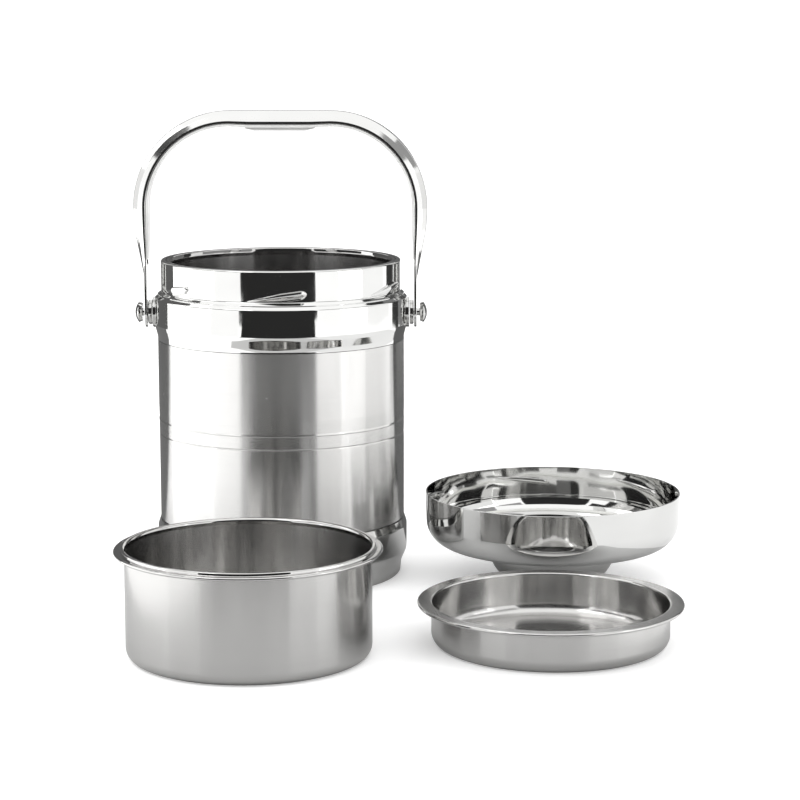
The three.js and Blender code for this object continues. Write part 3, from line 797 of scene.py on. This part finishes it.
def polished_steel(
    name, centre=(0.0, 0.0), colour=(0.70, 0.70, 0.69), mirror=(0.03, 0.075), wave=0.35
):
    """Mirror-polished sheet: a slow wave from pressing, a haze in patches and faint wiping scratches."""
    finish = Finish(name, colour, 0.05, 1.0)
    haze = finish.noise(finish.place(centre), 45, 4.0)
    wear = finish.wear(centre)
    gloss = finish.maths("ADD", finish.between(haze, *mirror), finish.maths("MULTIPLY", wear, 0.14))
    finish.set(finish.shader, "Roughness", gloss)
    tone = finish.noise(finish.place(centre, (1, 1, 2)), 20, 2.0)
    low, high = shades(colour, 0.965, 1.03)
    finish.set(finish.shader, "Base Color", finish.ramp(tone, [(0.3, low), (0.7, high)]))
    slow = finish.noise(finish.place(centre), 26, 1.0)
    pressed = finish.bump(slow, wave, 1.0 * MM)
    finish.set(finish.shader, "Normal", finish.bump(wear, 0.06, 0.02 * MM, pressed))
    return finish.material


def spun_steel(
    name, centre=(0.0, 0.0), colour=(0.66, 0.655, 0.645), gloss=(0.21, 0.27), polished_above=None
):
    """Brushed or spun sheet: hair lines round the axis, streaks, and a few handling scratches.
    Above a given height, in millimetres, the sheet has been polished."""
    finish = Finish(name, colour, 0.35, 1.0)
    here = finish.place(centre)
    hair = finish.noise(finish.lathe_lines(here), 1.0, 2.0, 0.7)
    wear = finish.wear(centre)
    patches = finish.noise(finish.place(centre, (1, 1, 0.3)), 60, 3.0)
    rough = finish.maths("ADD", finish.between(patches, *gloss), finish.maths("MULTIPLY", wear, 0.08))
    if polished_above is not None:
        height = finish.node("ShaderNodeSeparateXYZ", Vector=here).outputs["Z"]
        edge = polished_above * MM
        fade = 0.2 * MM
        dull = finish.between(height, 1.0, 0.12, edge - fade, edge + fade)
        rough = finish.maths("MULTIPLY", rough, dull)
    finish.set(finish.shader, "Roughness", rough)
    low, high = shades(colour, 0.975, 1.02)
    finish.set(finish.shader, "Base Color", finish.ramp(hair, [(0.3, low), (0.7, high)]))
    finish.set(finish.shader, "Anisotropic", 1.0)
    finish.set(finish.shader, "Anisotropic Rotation", 0.25)
    tangent = finish.node("ShaderNodeTangent", {"direction_type": "RADIAL", "axis": "Z"})
    finish.set(finish.shader, "Tangent", tangent.outputs["Tangent"])
    pulled = finish.noise(finish.place(centre, (1, 1, 0.02)), 190, 2.0, 0.6)
    drawn = finish.bump(pulled, 0.03, 0.12 * MM)
    lines = finish.bump(hair, 0.05, 0.05 * MM, drawn)
    finish.set(finish.shader, "Normal", finish.bump(wear, 0.05, 0.02 * MM, lines))
    return finish.material


def moulded_plastic(name, colour, rough):
    """Fine spark-eroded grain with scuffs that have gone a little glossier."""
    finish = Finish(name, colour, 0.45)
    grain = finish.noise(finish.place(), 2600, 2.0, 0.6)
    scuffs = finish.noise(finish.place(scale=(1, 3, 3)), 70, 3.0)
    tone = finish.noise(finish.place(), 90, 3.0)
    low, high = shades(colour, 0.92, 1.04)
    finish.set(finish.shader, "Base Color", finish.ramp(tone, [(0.3, low), (0.7, high)]))
    finish.set(finish.shader, "Roughness", finish.between(scuffs, *rough))
    finish.set(finish.shader, "IOR", 1.49)
    finish.set(finish.shader, "Normal", finish.bump(grain, 0.25, 0.05 * MM))
    return finish.material


def sealing_silicone(name, centre):
    """Milky, slightly clouded silicone that lets a little light in."""
    finish = Finish(name, (0.80, 0.80, 0.77), 0.4)
    cloud = finish.noise(finish.place(centre), 120, 3.0)
    dust = finish.noise(finish.place(centre), 1500, 2.0)
    clouded = finish.ramp(cloud, [(0.3, (0.72, 0.72, 0.69)), (0.7, (0.84, 0.84, 0.81))])
    finish.set(finish.shader, "Base Color", clouded)
    finish.set(finish.shader, "Roughness", finish.between(dust, 0.32, 0.5))
    finish.set(finish.shader, "Subsurface Weight", 0.25)
    finish.set(finish.shader, "Subsurface Radius", (0.002, 0.002, 0.002))
    finish.set(finish.shader, "IOR", 1.41)
    finish.set(finish.shader, "Normal", finish.bump(dust, 0.1, 0.03 * MM))
    return finish.material


def insulating_foam(name):
    """Pale yellow foam with fine open cells."""
    finish = Finish(name, (0.86, 0.78, 0.55), 0.95)
    cells = finish.node("ShaderNodeTexVoronoi", Vector=finish.place(), Scale=700).outputs["Distance"]
    foamed = finish.ramp(cells, [(0.0, (0.70, 0.60, 0.38)), (0.6, (0.90, 0.83, 0.62))])
    finish.set(finish.shader, "Base Color", foamed)
    finish.set(finish.shader, "Roughness", finish.between(cells, 0.85, 1.0, 0, 1))
    finish.set(finish.shader, "Normal", finish.bump(cells, 0.5, 0.4 * MM))
    return finish.material


def sintered_alloy(name):
    """Dark, gritty pressed metal powder."""
    finish = Finish(name, (0.30, 0.30, 0.31), 0.65, 0.7)
    grit = finish.noise(finish.place(), 1800, 4.0, 0.7)
    gritty = finish.ramp(grit, [(0.3, (0.20, 0.20, 0.21)), (0.7, (0.38, 0.38, 0.39))])
    finish.set(finish.shader, "Base Color", gritty)
    finish.set(finish.shader, "Roughness", finish.between(grit, 0.5, 0.8))
    finish.set(finish.shader, "Normal", finish.bump(grit, 0.4, 0.1 * MM))
    return finish.material


def paint(piece, material):
    piece.data.materials.clear()
    piece.data.materials.append(material)


# ---- Putting it together -----------------------------------------------------------------------

def fit(piece, body, material, node):
    """Finishes a piece, hangs it on its body and lets it stand for its CAD node."""
    settle(piece)
    paint(piece, material)
    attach(piece, body)
    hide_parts(node)


pot_polish = polished_steel("polished_pot_steel")
fit(make_collar(), "pot", pot_polish, "neck_collar")
body_steel = spun_steel("brushed_body_steel", colour=(0.70, 0.695, 0.685), gloss=(0.2, 0.26))
fit(make_body(), "pot", body_steel, "body_shell")
base_steel = polished_steel("buffed_base_steel", mirror=(0.07, 0.13))
fit(make_base(), "pot", base_steel, "base_cap")
liner_steel = spun_steel(
    "satin_liner_steel", colour=(0.52, 0.515, 0.51), gloss=(0.13, 0.17), polished_above=pot_top - 4.5
)
fit(make_liner(), "pot", liner_steel, "inner_liner")

pivot_polish = polished_steel(
    "turned_pivot_steel", colour=(0.58, 0.58, 0.57), mirror=(0.05, 0.12), wave=0.05
)
for side, hand in ((-1, "left"), (1, "right")):
    flange, boss, rivet = make_pivot(side, hand)
    fit(flange, "pot", pivot_polish, f"{hand}_pivot_flange")
    fit(boss, "pot", pivot_polish, f"{hand}_pivot_boss")
    fit(rivet, "pot", pivot_polish, f"{hand}_pivot_rivet")

channel, lining = make_bail()
bail_steel = polished_steel("polished_bail_steel", mirror=(0.07, 0.13), wave=0.2)
fit(channel, "bail", bail_steel, "bail_handle")
bail_plastic = moulded_plastic("pale_bail_plastic", (0.90, 0.90, 0.89), (0.3, 0.42))
fit(lining, "bail", bail_plastic, "bail_insert")
pad_plastic = moulded_plastic("soft_pad_plastic", (0.50, 0.50, 0.49), (0.45, 0.6))
fit(make_pad(), "bail", pad_plastic, "bail_grip")

lid_polish = polished_steel("polished_lid_steel", lid_at, wave=0.5)
fit(make_lid_shell(), "lid", lid_polish, "lid_shell")
fit(make_lid_plate(), "lid", lid_polish, "lid_inner_plate")
fit(make_seal(), "lid", sealing_silicone("lid_ring_silicone", lid_at), "lid_seal")
fit(make_knob(), "lid", lid_polish, "lid_knob")

pan_steel = spun_steel(
    "spun_pan_steel", pan_at, (0.60, 0.595, 0.585), (0.13, 0.17), polished_above=pan_high.z - 3.4
)
fit(make_pan(), "container", pan_steel, "deep_container")
dish_steel = spun_steel("spun_dish_steel", dish_at, (0.62, 0.615, 0.605), (0.14, 0.18))
fit(make_dish(), "dish", dish_steel, "shallow_dish")

# The hidden CAD nodes stay as they are and only get their finish.

paint(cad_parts["vacuum_end_cap"], spun_steel("drawn_cap_steel", gloss=(0.36, 0.44)))
paint(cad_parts["getter_pill"], sintered_alloy("sintered_getter"))
paint(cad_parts["vacuum_seal_plug"], sintered_alloy("sealing_glass_alloy"))
paint(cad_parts["lid_insulation"], insulating_foam("lid_foam"))


# ---- Studio ------------------------------------------------------------------------------------

def plain_surface(name, colour, rough):
    finish = Finish(name, colour, rough)
    mottle = finish.noise(finish.place(), 3, 3.0)
    low, high = shades(colour, 0.99, 1.01)
    finish.set(finish.shader, "Base Color", finish.ramp(mottle, [(0.3, low), (0.7, high)]))
    return finish.material


def glow(name, level):
    """A card's own light, the same all over."""
    material = bpy.data.materials.new(name)
    material.use_nodes = True
    nodes = material.node_tree.nodes
    nodes.clear()
    emission = nodes.new("ShaderNodeEmission")
    emission.inputs["Color"].default_value = (1, 1, 1, 1)
    emission.inputs["Strength"].default_value = level
    output = nodes.new("ShaderNodeOutputMaterial")
    material.node_tree.links.new(emission.outputs["Emission"], output.inputs["Surface"])
    return material


def card(name, corners, finish):
    """A studio card seen only in reflections."""
    piece = draw(name, corners + corners[:1])
    bpy.ops.mesh.select_all(action="SELECT")
    bpy.ops.mesh.remove_doubles(threshold=0.01)
    bpy.ops.mesh.edge_face_add()
    bpy.ops.object.mode_set(mode="OBJECT")
    paint(piece, finish)
    piece.visible_camera = False
    piece.visible_diffuse = False
    piece.visible_shadow = False
    return piece


def towards(azimuth):
    """A level direction from the pot, in degrees from the front, with the left side below zero."""
    turn = math.radians(azimuth)
    return Vector((math.sin(turn), -math.cos(turn), 0))


def standing_card(name, azimuth_from, azimuth_to, distance, bottom, top, level):
    """An upright card beside the set, between two directions and two heights."""
    left = towards(azimuth_from) * distance
    right = towards(azimuth_to) * distance
    low, high = Vector((0, 0, bottom)), Vector((0, 0, top))
    return card(name, [left + low, right + low, right + high, left + high], glow(f"{name}_light", level))


def lying_card(name, azimuth_from, azimuth_to, near, far, level):
    """A card just above the floor round the pot, between two directions and two distances."""
    left, right = towards(azimuth_from), towards(azimuth_to)
    lift = Vector((0, 0, 0.003))
    corners = [left * near + lift, right * near + lift, right * far + lift, left * far + lift]
    return card(name, corners, glow(f"{name}_light", level))


def table_card(name, corners, height, finish):
    """A card that lies on the floor, from its corners."""
    return card(name, [Vector((x, y, height)) for x, y in corners], finish)


ROOM_LIGHT = 1.35
FLOOR_GLOW = 0.25           # keeps the shadows on the floor light

# Standing cards: directions from and to, distance, bottom, top and level of light.
STANDING_CARDS = {
    "dark_front_card": (-35, 34, 1.45, 0.0, 1.3, 0.03),
    "left_soft_card": (-118, -62, 1.1, 0.0, 1.5, 2.8),
    "left_soft_card_end": (-62, -35, 1.12, 0.0, 1.5, 1.4),
    "right_soft_card": (58, 84, 1.3, 0.0, 1.5, 2.8),
    "right_soft_card_end": (35, 58, 1.3, 0.0, 1.5, 1.4),
    "right_soft_card_side": (84, 114, 1.3, 0.0, 1.5, 1.3),
    "left_bail_band": (-116, -64, 1.08, 0.13, 0.56, 1.1),
    "right_bail_band": (60, 112, 1.24, 0.13, 0.60, 1.1),
    "left_upper_gap": (-102, -38, 1.0, 0.60, 1.15, 0.05),
    "right_upper_gap": (38, 102, 1.2, 0.68, 1.3, 0.4),
    "rear_left_grey_card": (-162, -116, 1.2, 0.0, 1.5, 0.14),
    "rear_right_dark_card": (120, 133, 1.2, 0.0, 1.5, 0.05),
    "rear_right_grey_card": (133, 162, 1.25, 0.0, 1.5, 0.25),
    "rear_grey_strip": (150, 210, 2.2, 0.2, 0.8, 0.14),
}

put_down()
bpy.ops.mesh.primitive_plane_add(size=24, location=(0, 0, 0))
floor = bpy.context.object
floor.name = "studio_floor"
floor_finish = plain_surface("pale_floor", (0.90, 0.90, 0.90), 0.9)
floor_shader = floor_finish.node_tree.nodes["Principled BSDF"]
floor_shader.inputs["Emission Color"].default_value = (1, 1, 1, 1)
floor_shader.inputs["Emission Strength"].default_value = FLOOR_GLOW
paint(floor, floor_finish)

for name, (start, end, distance, bottom, top, level) in STANDING_CARDS.items():
    standing_card(name, start, end, distance, bottom, top, level)
lying_card("dark_floor_rear_left", -165, -122, 0.10, 1.2, 0.20)
lying_card("dark_floor_rear_right", 126, 165, 0.10, 1.2, 0.14)
table_card(
    "dark_table_edge", [(-0.42, -0.62), (0.42, -0.62), (0.87, -1.45), (-0.90, -1.45)], 0.002,
    glow("dark_table_light", 0.03),
)
# A grey card seen only in reflections, darker than the floor: painted shade that stands for the shadowed
# floor under the lid and round the feet of the pieces.
table_card(
    "painted_shade_under_pieces", [(-0.20, -0.62), (0.26, -0.62), (0.26, 0.35), (-0.20, 0.35)], 0.0004,
    plain_surface("painted_shade_grey", (0.53, 0.53, 0.53), 0.9),
)
table_card(
    "pale_table_side", [(0.26, -0.62), (1.0, -0.62), (1.0, 0.35), (0.26, 0.35)], 0.0004,
    plain_surface("pale_table", (0.80, 0.80, 0.80), 0.9),
)

world = bpy.data.worlds.new("studio_air")
bpy.context.scene.world = world
world.use_nodes = True
world.node_tree.nodes["Background"].inputs["Color"].default_value = (1.0, 1.0, 1.0, 1)
world.node_tree.nodes["Background"].inputs["Strength"].default_value = ROOM_LIGHT

bpy.ops.object.light_add(type="AREA", location=(-1.2, -0.9, 1.9))
key = bpy.context.object
key.name = "soft_key_light"
key.data.shape = "RECTANGLE"
key.data.size = 1.0
key.data.size_y = 0.7
key.data.energy = 9
key.rotation_euler = (Vector((0, 0, 0.1)) - key.location).to_track_quat("-Z", "Y").to_euler()

camera = bpy.data.objects.new("camera", bpy.data.cameras.new("camera"))
bpy.context.scene.collection.objects.link(camera)
camera.location = (0.0745, -1.4938, 0.354)
camera.rotation_euler = (math.radians(80.7), 0.0, 0.0)
camera.data.sensor_width = 36.0
camera.data.lens = 107.86
camera.data.clip_end = 50.0
bpy.context.scene.camera = camera
bpy.context.scene.view_settings.view_transform = "Standard"

put_down()
